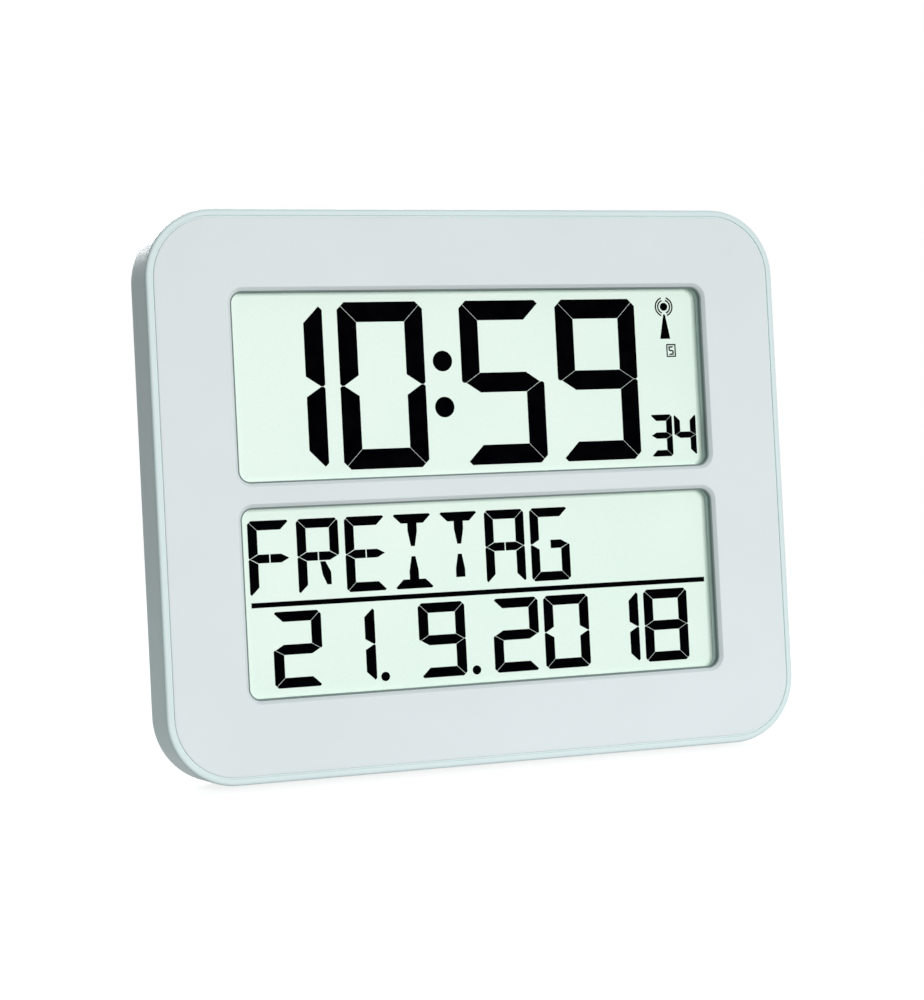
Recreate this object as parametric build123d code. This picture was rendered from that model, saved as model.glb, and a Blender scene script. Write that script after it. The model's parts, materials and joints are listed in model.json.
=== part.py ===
from build123d import *
import os
from math import cos, radians, sin, tan

# A large-display clock for desk or wall. Every piece is built upright, with X across, Y from the
# front to the back and Z up, and its origin at the middle of the front face. Then the whole clock
# leans back on its open stand, and its origin moves to the middle of its footprint. Millimetres.

# Case
case_width = 258.0
case_height = 212.0
case_depth = 21.5           # frame and flat back, without the raised housing
corner_radius = 26.0
wall = 2.5
rim_round = 1.0
lean = 7.84                 # degrees

# Front panel, set into the frame
panel_thickness = 2.5
panel_gap = 0.5             # the fine groove round the panel
groove_depth = 0.5
groove_step = 0.4           # how far the frame reaches under the groove
panel_round = 0.3
ledge_width = 3.5
rest_width = 2.45           # the ledge that the back rests on
ledge_thickness = 2.0
window_width = 197.0
window_height = 73.8
window_corner = 6.0
window_bevel = 1.3
crossbar_height = 6.4
crossbar_rise = 0.0         # middle of the crossbar above the middle of the case
collar_wall = 1.8
gasket_wall = 0.55
gasket_sink = 0.1           # gasket's edge below the bevel's inner edge

# Displays, behind the windows
glass_depth = 5.5           # front of the glass behind the front face
glass_thickness = 1.2       # one of the two sheets
glass_border = 1.6
contact_ledge = 2.7
reflector_thickness = 0.3
strip_length = 150.0
strip_width = 2.2

# Display carrier
carrier_thickness = 2.0
lip_wall = 1.8
lip_gap = 0.3
lip_lead = 0.4              # lip stands back from the window collar
ear_reach = 3.5
ear_height = 8.0
ear_side = 1.0              # ear beyond its post
carrier_screw_z = 44.5

# Main board
board_side = 13.0           # board edge beyond the buttons
board_height = 90.0
board_thickness = 1.6
board_standoff = 0.8
board_top = 5.5             # top edge above the middle of the case
board_corner = 2.0
board_screw_side = 4.0      # in from the board's sides
board_screw_top = 9.5       # down from its top edge
board_screw_bottom = 8.5    # up from its bottom edge
chip_x = -40.0
chip_z = -40.0
chip_radius = 8.0
chip_height = 2.0
crystal_x = -23.0
crystal_z = -30.0
crystal_radius = 1.05
crystal_length = 6.0
capacitor_x = [-40.0, -33.0]
capacitor_z = -12.0
capacitor_radius = 2.5
capacitor_height = 7.0
resistor_x = [-58.0, -54.0, -50.0, -46.0, -42.0]
resistor_z = -26.0
resistor_length = 2.0
resistor_width = 1.2
resistor_height = 0.6

# Back
cover_thickness = 2.4
cover_gap = 0.2
housing_side = 18.0         # housing edge beyond the buttons
housing_top = 62.0
housing_bottom = -98.0
bay_clearance = 0.8         # between the battery well and the display carrier
housing_wall = 2.0
housing_corner = 8.0
housing_round = 1.5

# Screws and their bosses
boss_radius = 3.5
boss_joint = 16.0           # depth where the panel's bosses meet the cover's
boss_inset = 15.0
screw_radius = 1.1
screw_gap = 0.1
screw_length = 9.0
screw_head_radius = 2.8
screw_head_height = 2.0
head_sink = 2.6
small_screw_radius = 0.95
small_head_radius = 2.1
small_head_height = 1.5
small_post_radius = 2.75

# Batteries: two standard AA cells, side by side, head to tail
cell_radius = 7.25
cell_length = 50.5
cell_nub_radius = 2.75
cell_nub_length = 1.0
cell_pitch = 16.0
bay_middle = 36.0           # above the middle of the case
bay_wall = 1.5
bay_gap = 0.5
bay_floor_gap = 0.2
bay_door_gap = 0.8          # between a cell and the door
cell_round = 0.6
spring_length = 4.7
spring_wire = 0.7
spring_radius = 3.2
spring_turns = 3
contact_thickness = 0.4
contact_width = 11.0
tab_length = 3.6
tab_width = 2.5

# Battery door
door_half_width = 31.8
door_thickness = 1.8
door_gap = 0.2
door_bottom = 17.2
tongue_reach = 2.2
tongue_thickness = 1.0
tongue_gap = 0.15
rail_width = 5.0
rail_depth = 3.0
grip_count = 5              # grooves for a thumb
grip_rise = 8.0             # first groove above the door's bottom edge
grip_pitch = 2.5
grip_half_length = 9.0
grip_radius = 0.8
grip_lift = 0.2             # axis of a groove's round above the door's face

# Fold-out stand, hinged along the case's height
stand_x = 0.0
stand_reach = 52.0
stand_thickness = 3.0
stand_top = -44.3
stand_heel = -91.7
knuckle_radius = 3.0
knuckle_gap = 0.2
leg_rise_reach = 12.0       # the leg's top edge runs level this far, then slopes to its end
leg_end_top = -82.0
leg_foot_start = 8.0        # the foot starts this far behind the hinge line
pad_thickness = 1.2
pad_length = 22.0
pad_end = 2.0               # pad's end short of the leg's
pin_radius = 1.25
pin_fit = 0.03
hinge_fit = 0.08
ear_half_width = 4.5
ear_thickness = 4.0
ear_sink = 0.6              # ear's face below the housing's back
ear_gap = 0.3
recess_gap = 4.0
recess_wall = 1.5

# Push buttons on the back
button_names = ["set_button", "plus_button", "minus_button", "alarm_button"]
button_side = 9.3           # a button's flange beyond the stand's pocket
button_top = -14.0
button_pitch = 18.0
button_radius = 4.0
button_gap = 0.2
button_sink = 0.2
button_flange = 1.2
button_stem_radius = 2.0
button_round = 0.4
button_dish_radius = 14.0   # the hollow in a button's face
button_dish_depth = 0.4
button_travel = 0.8
button_rest_gap = 0.1       # left at full press
switch_size = 6.0
switch_height = 3.5
switch_plunger = 1.3
switch_plunger_radius = 1.7

# Antenna, receiver and buzzer
antenna_radius = 3.0
antenna_length = 70.0
antenna_gap = 1.0           # between the cradles and the display carrier
clip_wall = 1.6
coil_radius = 4.0
coil_length = 24.0
clip_width = 5.0
clip_spacing = 50.0
receiver_x = -60.0
receiver_z = 40.0
receiver_width = 30.0
receiver_height = 22.0
receiver_thickness = 1.2
receiver_standoff = 8.0
receiver_screw_side = 3.5
receiver_chip_size = (6.0, 4.0, 1.6)
receiver_chip_rise = 3.0    # its middle above the board's
buzzer_x = 60.0
buzzer_z = 40.0
buzzer_radius = 11.0
buzzer_height = 5.5
buzzer_ring = 1.2
buzzer_ring_depth = 4.0
buzzer_fit = 0.2
buzzer_hole_radius = 1.5
sound_hole_radius = 1.0
sound_ring_radius = 5.0

# Internal leads
lead_stub = 0.45            # a lead's end stands off its board by this share of its diameter
battery_lead_size = 1.0
antenna_lead_size = 0.6
receiver_lead_size = 0.9
buzzer_lead_size = 0.8

# Keyhole hangers in the flat back
hanger_x = 60.0
hanger_z = 82.0
hanger_radius = 4.0
hanger_slot = 4.2
hanger_rise = 8.0

# Depths and edges that follow from these
inner_width = case_width - 2 * wall
inner_height = case_height - 2 * wall
cover_face = case_depth - cover_thickness
time_bottom = crossbar_rise + crossbar_height / 2
time_top = time_bottom + window_height
date_top = crossbar_rise - crossbar_height / 2
date_bottom = date_top - window_height
cell_back = glass_depth + 2 * glass_thickness
carrier_front = cell_back + reflector_thickness
carrier_back = carrier_front + carrier_thickness
board_front = carrier_back + board_standoff
board_back = board_front + board_thickness
board_bottom = board_top - board_height
bay_floor = carrier_back + bay_clearance + bay_wall
cell_y = bay_floor + bay_floor_gap + cell_radius
housing_face = cell_y + cell_radius + bay_door_gap
housing_back = housing_face + housing_wall
recess_left = stand_x - knuckle_radius - recess_gap
recess_right = stand_x + stand_reach + recess_gap
button_x = recess_right + recess_wall + button_side + button_radius + button_flange
board_width = 2 * (button_x + board_side)
housing_width = 2 * (button_x + housing_side)
glass_half_width = window_width / 2 + glass_border
hinge_y = housing_back - knuckle_radius - 0.1
floor_slope = tan(radians(lean))


def block(x0, x1, y0, y1, z0, z1):
    """A box between two corners."""
    middle = Pos((x0 + x1) / 2, (y0 + y1) / 2, (z0 + z1) / 2)
    return middle * Box(x1 - x0, y1 - y0, z1 - z0)


def slab(outline, front, back):
    """A flat outline in X and Z, solid from one depth to another."""
    return extrude(Plane.XZ.offset(-front) * outline, amount=front - back)


def rod(x, z, radius, front, back):
    """A round bar along the clock's depth."""
    return Pos(x, (front + back) / 2, z) * Rot(90, 0, 0) * Cylinder(radius, back - front)


def bar(x0, x1, y, z, radius):
    """A round bar along the clock's width."""
    return Pos((x0 + x1) / 2, y, z) * Rot(0, 90, 0) * Cylinder(radius, x1 - x0)


def case_outline(inset):
    """The case's rounded outline, moved in by a distance."""
    width = case_width - 2 * inset
    height = case_height - 2 * inset
    return RectangleRounded(width, height, corner_radius - inset)


def window_outline(bottom, grow):
    """One window's rounded outline, grown by a distance all round."""
    outline = RectangleRounded(window_width + 2 * grow, window_height + 2 * grow, window_corner + grow)
    return Pos(0, bottom + window_height / 2) * outline


def edges_at(shape, depth):
    """The edges that lie wholly at one depth."""
    return [e for e in shape.edges() if abs(e.bounding_box().min.Y - depth) < 0.001
            and abs(e.bounding_box().max.Y - depth) < 0.001]


def case_screw_places():
    """Six places for the case screws: the four corners and the two sides."""
    x = case_width / 2 - boss_inset
    z = case_height / 2 - boss_inset
    return [(sx * x, sz * z) for sx in (-1, 1) for sz in (-1, 0, 1)]


def carrier_screw_places():
    """Four places for the carrier's screws, beside the displays."""
    x = glass_half_width + lip_gap + lip_wall + ear_reach
    return [(sx * x, sz * carrier_screw_z) for sx in (-1, 1) for sz in (-1, 1)]


def board_screw_places():
    """Four places for the main board's screws, near its corners."""
    x = board_width / 2 - board_screw_side
    high = board_top - board_screw_top
    low = board_bottom + board_screw_bottom
    return [(sx * x, z) for sx in (-1, 1) for z in (high, low)]


def receiver_screw_places():
    """Two places for the receiver board's screws."""
    return [(receiver_x + sx * (receiver_width / 2 - receiver_screw_side), receiver_z) for sx in (-1, 1)]


def button_places():
    """The four buttons, in a column."""
    return [(button_x, button_top - i * button_pitch) for i in range(len(button_names))]


def screw(x, z, seat, tip, radius, head_radius, head_height, turned=1):
    """A pan-head screw whose head stands on a seat, with a cross slot; turned is the side of the head."""
    shank = rod(x, z, radius, min(seat, tip), max(seat, tip))
    top = seat + turned * head_height
    head = rod(x, z, head_radius, min(seat, top), max(seat, top))
    rim = [e for e in edges_at(head, top)]
    head = fillet(rim, head_height * 0.4)
    slot_depth = turned * head_height * 0.5
    low, high = sorted((top - slot_depth, top + turned))
    arm = head_radius * 0.6
    thin = head_radius * 0.13
    cross = block(x - arm, x + arm, low, high, z - thin, z + thin)
    cross += block(x - thin, x + thin, low, high, z - arm, z + arm)
    return head + shank - cross


def front_frame():
    """The case's side walls and rim, with a ledge for the panel and one for the cover."""
    body = slab(case_outline(0), 0, case_depth)
    body = fillet(edges_at(body, 0), rim_round)
    inside = slab(case_outline(wall), -1, case_depth + 1)
    ledge = slab(case_outline(wall) - case_outline(wall + ledge_width), panel_thickness,
                 panel_thickness + ledge_thickness)
    rest = slab(case_outline(wall) - case_outline(wall + rest_width),
                cover_face - ledge_thickness, cover_face)
    step = slab(case_outline(wall) - case_outline(wall + groove_step), groove_depth, panel_thickness)
    return body - inside + ledge + rest + step


def front_panel():
    """The plate that shows, with two bevelled windows, their collars and the bosses behind."""
    plate = slab(case_outline(wall + panel_gap), 0, panel_thickness)
    plate = fillet(edges_at(plate, 0), panel_round)
    for bottom in (time_bottom, date_bottom):
        plate += slab(window_outline(bottom, collar_wall - window_bevel), panel_thickness / 2, glass_depth)
    for x, z in case_screw_places():
        plate += rod(x, z, boss_radius, panel_thickness / 2, boss_joint)
    for x, z in carrier_screw_places():
        plate += rod(x, z, small_post_radius, panel_thickness / 2, carrier_front)
    for bottom in (time_bottom, date_bottom):
        plate -= slab(window_outline(bottom, -window_bevel), -1, glass_depth + 1)
        mouth = Plane.XZ * window_outline(bottom, 0)
        throat = Plane.XZ.offset(-window_bevel) * window_outline(bottom, -window_bevel)
        plate -= loft([mouth.face(), throat.face()])
    for x, z in case_screw_places():
        plate -= rod(x, z, screw_radius + screw_gap, boss_joint - screw_length, boss_joint + 1)
    for x, z in carrier_screw_places():
        plate -= rod(x, z, small_screw_radius + screw_gap, panel_thickness + 0.8, carrier_front + 1)
    return plate


def window_gasket(bottom):
    """The rubber ring between a window's collar and its display."""
    outline = window_outline(bottom, -window_bevel) - window_outline(bottom, -window_bevel - gasket_wall)
    return slab(outline, window_bevel + gasket_sink, glass_depth)


def glass_cell(bottom, top, back_bottom):
    """A display cell: two sheets of glass, the front one reaching further down for its contacts."""
    x = glass_half_width
    front = block(-x, x, glass_depth, glass_depth + glass_thickness, bottom, top)
    return front + block(-x, x, glass_depth + glass_thickness, cell_back, back_bottom, top)


time_glass_bottom = time_bottom - 0.3 - contact_ledge
time_glass_top = time_top + glass_border
date_glass_top = date_top + glass_border
date_glass_bottom = date_bottom - glass_border - contact_ledge


def time_lcd():
    return glass_cell(time_glass_bottom, time_glass_top, time_glass_bottom + contact_ledge)


def calendar_lcd():
    return glass_cell(date_glass_bottom, date_glass_top, date_glass_bottom + contact_ledge)


def reflector(bottom, top):
    """The silvered sheet bonded to the back of a display cell."""
    x = glass_half_width - 0.5
    return block(-x, x, cell_back, carrier_front, bottom + contact_ledge + 0.1, top - 0.5)


def connector_strip(bottom, grow=0.0):
    """The rubber strip that carries contacts from a display's ledge to the board."""
    low = bottom + (contact_ledge - strip_width) / 2 - grow
    x = strip_length / 2 + grow
    return block(-x, x, glass_depth + glass_thickness, board_front, low, low + strip_width + 2 * grow)


def lcd_carrier():
    """The frame that holds both displays against the panel and carries the main board."""
    x = glass_half_width + lip_gap
    low = date_glass_bottom - lip_gap
    high = time_glass_top + lip_gap
    outer = block(-x - lip_wall, x + lip_wall, glass_depth + lip_lead, carrier_back,
                  low - lip_wall, high + lip_wall)
    carrier = outer - block(-x, x, glass_depth - 1, carrier_front, low, date_glass_top + lip_gap)
    carrier -= block(-x, x, glass_depth - 1, carrier_front, time_glass_bottom - lip_gap, high)
    for sx, sz in carrier_screw_places():
        half = small_post_radius + ear_side
        ear = block(sx - half, sx + half, carrier_front, carrier_back,
                    sz - ear_height / 2, sz + ear_height / 2)
        carrier += ear
        carrier -= rod(sx, sz, small_screw_radius + 0.25, carrier_front - 1, carrier_back + 1)
    for bx, bz in board_screw_places():
        carrier += rod(bx, bz, small_post_radius, carrier_back - 0.5, board_front)
        carrier -= rod(bx, bz, small_screw_radius + screw_gap, carrier_front - 1, board_front + 1)
    for bottom in (time_glass_bottom, date_glass_bottom):
        carrier -= connector_strip(bottom, 0.15)
    return carrier


def main_board():
    """The circuit board behind the displays."""
    outline = Pos(0, board_top - board_height / 2) * RectangleRounded(board_width, board_height, board_corner)
    board = slab(outline, board_front, board_back)
    for x, z in board_screw_places():
        board -= rod(x, z, small_screw_radius + 0.25, board_front - 1, board_back + 1)
    return board


def controller_chip():
    """The chip under its drop of black resin."""
    top = board_back + chip_height
    drop = rod(chip_x, chip_z, chip_radius, board_back, top)
    return fillet(edges_at(drop, top), chip_height * 0.8)


def clock_crystal():
    """The small metal can that keeps the time, lying on the board."""
    half = crystal_length / 2
    return bar(crystal_x - half, crystal_x + half, board_back + crystal_radius, crystal_z, crystal_radius)


def board_capacitors():
    """Two upright capacitors."""
    return [rod(x, capacitor_z, capacitor_radius, board_back, board_back + capacitor_height)
            for x in capacitor_x]


def chip_resistors():
    """A row of surface-mounted resistors."""
    return [block(x, x + resistor_length, board_back, board_back + resistor_height,
                  resistor_z, resistor_z + resistor_width) for x in resistor_x]


def tact_switches():
    """One small switch under each button."""
    half = switch_size / 2
    switches = []
    for x, z in button_places():
        body = block(x - half, x + half, board_back, board_back + switch_height, z - half, z + half)
        switches.append(body + rod(x, z, switch_plunger_radius, board_back + switch_height - 0.5,
                                   board_back + switch_height + switch_plunger))
    return switches


def housing_outer():
    """The outside of the raised housing on the back."""
    height = housing_top - housing_bottom
    outline = Pos(0, housing_bottom + height / 2) * RectangleRounded(housing_width, height, housing_corner)
    body = slab(outline, cover_face, housing_back)
    return fillet(edges_at(body, housing_back), housing_round)


bay_low = bay_middle - cell_pitch / 2 - cell_radius - bay_gap
bay_high = bay_middle + cell_pitch / 2 + cell_radius + bay_gap
bay_half = (cell_length + spring_length) / 2 + contact_thickness
door_front = housing_back - door_thickness
recess_floor = hinge_y - knuckle_radius - knuckle_gap
recess_top = stand_top + ear_gap + ear_thickness + 2


def hinge_ear(bottom):
    """One ear that holds the stand's pin."""
    return block(stand_x - ear_half_width, stand_x + ear_half_width, recess_floor - 0.5,
                 housing_back - ear_sink, bottom, bottom + ear_thickness)


def battery_bay(body):
    """Adds the battery well, the door's rails and their decks to the back, and cuts them out."""
    shell = housing_outer()
    rail_edge = door_half_width + door_gap + rail_width
    body += block(-bay_half - bay_wall, bay_half + bay_wall, bay_floor - bay_wall, housing_face,
                  bay_low - bay_wall, bay_high + bay_wall)
    rails = block(-rail_edge, rail_edge, housing_face - rail_depth, housing_back,
                  door_bottom - door_gap - bay_wall, housing_top)
    body += rails & shell
    body -= block(-bay_half, bay_half, bay_floor, housing_back + 1, bay_low, bay_high)
    low = door_bottom - door_gap
    slot = door_half_width + door_gap
    body -= block(-slot, slot, door_front - door_gap, housing_back + 1, low, housing_top + 1)
    groove = door_front + (door_thickness - tongue_thickness) / 2
    reach = slot + tongue_reach
    body -= block(-reach, reach, groove - tongue_gap, groove + tongue_thickness + tongue_gap,
                  low, housing_top + 1)
    return body


def stand_recess(body):
    """Adds the pocket that the stand folds into, with its two hinge ears."""
    shell = housing_outer()
    pocket = block(recess_left - recess_wall, recess_right + recess_wall, recess_floor - recess_wall,
                   housing_back, housing_bottom, recess_top + recess_wall)
    body += pocket & shell
    body -= block(recess_left, recess_right, recess_floor, housing_back + 1,
                  housing_bottom - 1, recess_top)
    body += hinge_ear(stand_top + ear_gap)
    body += hinge_ear(stand_heel - ear_gap - ear_thickness)
    body -= Pos(stand_x, hinge_y, (stand_top + stand_heel) / 2) * Cylinder(
        pin_radius + pin_fit, stand_top - stand_heel + 2 * (ear_gap + ear_thickness) + 2)
    return body


def rear_cover():
    """The flat back with its raised housing, battery well, stand pocket, hangers and holes."""
    body = slab(case_outline(wall + cover_gap), cover_face, case_depth)
    body += housing_outer()
    for x, z in case_screw_places():
        body += rod(x, z, boss_radius + 0.5, boss_joint, cover_face + 0.5)
    height = housing_top - housing_bottom - 2 * housing_wall
    hollow = RectangleRounded(housing_width - 2 * housing_wall, height, housing_corner - housing_wall)
    middle = (housing_top + housing_bottom) / 2
    body -= slab(Pos(0, middle) * hollow, cover_face - 1, housing_face)
    body = battery_bay(body)
    body = stand_recess(body)
    for x, z in receiver_screw_places():
        body += rod(x, z, small_post_radius, housing_face - receiver_standoff, housing_face + 0.5)
        body -= rod(x, z, small_screw_radius + screw_gap, housing_face - receiver_standoff - 1,
                    housing_face - 1)
    inside = buzzer_radius + buzzer_fit
    ring = rod(buzzer_x, buzzer_z, inside + buzzer_ring, housing_face - buzzer_ring_depth,
               housing_face + 0.5)
    body += ring - rod(buzzer_x, buzzer_z, inside, housing_face - buzzer_ring_depth - 1, housing_face)
    body -= rod(buzzer_x, buzzer_z, sound_hole_radius, housing_face - 1, housing_back + 1)
    for turn in range(0, 360, 60):
        x = buzzer_x + sound_ring_radius * cos(radians(turn))
        z = buzzer_z + sound_ring_radius * sin(radians(turn))
        body -= rod(x, z, sound_hole_radius, housing_face - 1, housing_back + 1)
    for x, z in button_places():
        body -= rod(x, z, button_radius + button_gap, housing_face - 1, housing_back + 1)
    for x, z in case_screw_places():
        body -= rod(x, z, screw_radius + 0.4, boss_joint - 1, case_depth)
        body -= rod(x, z, screw_head_radius + 0.2, case_depth - head_sink, case_depth + 1)
    for x in (-hanger_x, hanger_x):
        body -= rod(x, hanger_z, hanger_radius, cover_face - 1, case_depth + 1)
        body -= rod(x, hanger_z + hanger_rise, hanger_slot / 2, cover_face - 1, case_depth + 1)
        body -= block(x - hanger_slot / 2, x + hanger_slot / 2, cover_face - 1, case_depth + 1,
                      hanger_z, hanger_z + hanger_rise)
    return body


def battery_cell(side, z):
    """One AA cell; side is +1 where its nub points to +X."""
    tip = side * (bay_half - contact_thickness)
    shoulder = tip - side * cell_nub_length
    tail = tip - side * cell_length
    low, high = sorted((shoulder, tail))
    can = bar(low, high, cell_y, z, cell_radius)
    can = fillet(can.edges().filter_by(GeomType.CIRCLE), cell_round)
    low, high = sorted((shoulder - side * 0.5, tip))
    return can + bar(low, high, cell_y, z, cell_nub_radius)


def contact_plate(side, low, high):
    """A sprung-steel plate against one end wall of the battery well."""
    inner, outer = sorted((side * (bay_half - contact_thickness), side * bay_half))
    return block(inner, outer, cell_y - contact_width / 2, cell_y + contact_width / 2, low, high)


def end_contact(side, z):
    """A single contact plate with a solder tab through the wall of the well."""
    plate = contact_plate(side, z - contact_width / 2, z + contact_width / 2)
    inner, outer = sorted((side * (bay_half - 0.1), side * (bay_half + tab_length)))
    return plate + block(inner, outer, cell_y - 0.25, cell_y + 0.25, z - tab_width / 2, z + tab_width / 2)


lower_cell_z = bay_middle - cell_pitch / 2
upper_cell_z = bay_middle + cell_pitch / 2


def contact_spring(side, z):
    """The coil that presses on a cell's flat end."""
    start = side * (bay_half - contact_thickness)
    height = spring_length - contact_thickness - spring_wire
    path = Helix(pitch=height / spring_turns, height=height, radius=spring_radius)
    wire = sweep(Plane(path @ 0, z_dir=path % 0) * Circle(spring_wire / 2), path=path)
    first = start - side * (spring_wire / 2 + 0.2)
    return Pos(first, cell_y, z) * Rot(0, -90 * side, 0) * wire


def battery_door():
    """The flush door that slides off upwards, with its two tongues and grip grooves."""
    plate = block(-door_half_width, door_half_width, door_front, housing_back, door_bottom, housing_top)
    reach = door_half_width + tongue_reach
    middle = door_front + (door_thickness - tongue_thickness) / 2
    plate += block(-reach, reach, middle, middle + tongue_thickness, door_bottom, housing_top)
    door = plate & housing_outer()
    for i in range(grip_count):
        z = door_bottom + grip_rise + grip_pitch * i
        door -= bar(-grip_half_length, grip_half_length, housing_back + grip_lift, z, grip_radius)
    return door


def button(x, z):
    """A round push button with a retaining flange and a stem that reaches for its switch."""
    face = housing_back - button_sink
    flange_back = housing_face - 0.1
    stem_tip = board_back + switch_height + switch_plunger + button_travel + button_rest_gap
    cap = rod(x, z, button_radius, flange_back - 0.5, face)
    cap = fillet(edges_at(cap, face), button_round)
    cap += rod(x, z, button_radius + button_flange, flange_back - 1.0, flange_back)
    cap += rod(x, z, button_stem_radius, stem_tip, flange_back - 0.5)
    dish = Pos(x, face + button_dish_radius - button_dish_depth, z) * Sphere(button_dish_radius)
    return cap - dish


def floor_height(y):
    """How high the table lies at a depth, in the leaning clock's own frame."""
    return -case_height / 2 + (y - case_depth) * floor_slope


def leg_outline(points):
    """A flat outline in Y and Z, made into a plate of the stand's thickness about the hinge line."""
    face = Plane.YZ.offset(stand_x - stand_thickness / 2) * make_face(Polyline(points, close=True))
    return extrude(face, amount=stand_thickness)


def stand_leg():
    """The flap that stands out behind the open clock, with its hinge knuckle."""
    end = hinge_y + stand_reach
    lift = pad_thickness / cos(radians(lean))
    near = hinge_y + leg_foot_start
    points = [(hinge_y, stand_top), (hinge_y + leg_rise_reach, stand_top), (end, leg_end_top),
              (end, floor_height(end) + lift), (near, floor_height(near) + lift),
              (near, stand_heel), (hinge_y, stand_heel)]
    leg = leg_outline(points)
    leg += Pos(stand_x, hinge_y, (stand_top + stand_heel) / 2) * Cylinder(
        knuckle_radius, stand_top - stand_heel)
    return leg - Pos(stand_x, hinge_y, (stand_top + stand_heel) / 2) * Cylinder(
        pin_radius + hinge_fit, stand_top - stand_heel + 2)


def stand_pad():
    """The rubber strip under the far end of the leg."""
    end = hinge_y + stand_reach - pad_end
    near = end - pad_length
    lift = pad_thickness / cos(radians(lean))
    return leg_outline([(near, floor_height(near)), (end, floor_height(end)),
                        (end, floor_height(end) + lift), (near, floor_height(near) + lift)])


def stand_pin():
    """The steel pin through both ears and the knuckle."""
    length = stand_top - stand_heel + 2 * (ear_gap + ear_thickness) + 0.6
    return Pos(stand_x, hinge_y, (stand_top + stand_heel) / 2) * Cylinder(pin_radius, length)


antenna_y = cover_face - coil_radius - 0.3
clip_half = antenna_radius + clip_wall
antenna_height = time_glass_top + lip_gap + lip_wall + antenna_gap + clip_half


def antenna_coil():
    """The winding on the middle of the ferrite rod."""
    winding = bar(-coil_length / 2, coil_length / 2, antenna_y, antenna_height, coil_radius)
    return winding - bar(-coil_length, coil_length, antenna_y, antenna_height, antenna_radius)


def antenna_clips():
    """Two cradles that hold the rod to the back."""
    clips = []
    for x in (-clip_spacing / 2, clip_spacing / 2):
        clip = block(x - clip_width / 2, x + clip_width / 2, antenna_y - clip_half + 0.6, cover_face,
                     antenna_height - clip_half, antenna_height + clip_half)
        clips.append(clip - bar(x - clip_width, x + clip_width, antenna_y, antenna_height,
                                antenna_radius + 0.05))
    return clips


receiver_back = housing_face - receiver_standoff
receiver_front = receiver_back - receiver_thickness


def receiver_board():
    """The small board of the radio receiver."""
    half_width = receiver_width / 2
    half_height = receiver_height / 2
    board = block(receiver_x - half_width, receiver_x + half_width, receiver_front, receiver_back,
                  receiver_z - half_height, receiver_z + half_height)
    for x, z in receiver_screw_places():
        board -= rod(x, z, small_screw_radius + 0.25, receiver_front - 1, receiver_back + 1)
    return board


def receiver_chip():
    """The receiver's chip."""
    width, height, thickness = receiver_chip_size
    low = receiver_z + receiver_chip_rise - height / 2
    return block(receiver_x - width / 2, receiver_x + width / 2, receiver_front - thickness,
                 receiver_front, low, low + height)


def buzzer():
    """The alarm's sounder, a round can with a hole in its face."""
    can = rod(buzzer_x, buzzer_z, buzzer_radius, housing_face - buzzer_height, housing_face)
    return can - rod(buzzer_x, buzzer_z, buzzer_hole_radius, housing_face - 1.5, housing_face + 1)


def lead(points, diameter):
    """A wire of straight runs joined by round bends, each as large as its runs allow."""
    radii = []
    for before, here, after in zip(points, points[1:], points[2:]):
        first = Vector(*here) - Vector(*before)
        second = Vector(*after) - Vector(*here)
        half_turn = radians(first.get_angle(second)) / 2
        radii.append(0.45 * min(first.length, second.length) / tan(half_turn))
    path = FilletPolyline(*points, radius=radii)
    return sweep(Plane(path @ 0, z_dir=path % 0) * Circle(diameter / 2), path=path)


tab_end = bay_half + tab_length


def battery_lead(z, x, landing):
    """A lead from a battery contact's tab to the main board."""
    return lead([(tab_end, cell_y, z), (x, cell_y, z), (x, cell_y, landing + 1),
                 (x, board_back + lead_stub * battery_lead_size, landing - 6)],
                battery_lead_size)


def antenna_leads():
    """The coil's two ends, run to the receiver board."""
    leads = []
    for i in range(2):
        x = -6.0 + 3.0 * i
        z = housing_top - 5.0 - 2.0 * i
        end_x = receiver_x + 11.0 + 2.0 * i
        leads.append(lead([(x, antenna_y, antenna_height - coil_radius), (x, antenna_y, z),
                           (end_x, receiver_front - 4.0, z),
                           (end_x, receiver_front - lead_stub * antenna_lead_size, z - 10.0)],
                          antenna_lead_size))
    return leads


def receiver_leads():
    """Three leads from the receiver board to the main board."""
    leads = []
    for i in range(3):
        x = receiver_x - 2.0 + 2.0 * i
        top = receiver_z - 8.0
        leads.append(lead([(x, receiver_front - lead_stub * receiver_lead_size, top),
                           (x, board_back + 3.2, top - 3.5),
                           (x, board_back + 3.2, board_top - 0.5),
                           (x, board_back + lead_stub * receiver_lead_size, board_top - 4.0)],
                          receiver_lead_size))
    return leads


def buzzer_leads():
    """Two leads from the buzzer to the main board."""
    leads = []
    for i in range(2):
        x = buzzer_x - 2.0 + 2.5 * i
        start = housing_face - buzzer_height - lead_stub * buzzer_lead_size
        leads.append(lead([(x, start, buzzer_z - 5.0), (x, board_back + 5.0, buzzer_z - 12.0),
                           (x, board_back + 5.0, board_top + 2.0),
                           (x, board_back + lead_stub * buzzer_lead_size, board_top - 4.0)],
                          buzzer_lead_size))
    return leads


def case_screws():
    seat = case_depth - head_sink
    return [screw(x, z, seat, boss_joint - screw_length + 1.5, screw_radius, screw_head_radius,
                  screw_head_height) for x, z in case_screw_places()]


def small_screws(places, seat, tip, turned=1):
    return [screw(x, z, seat, tip, small_screw_radius, small_head_radius, small_head_height, turned)
            for x, z in places]


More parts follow.
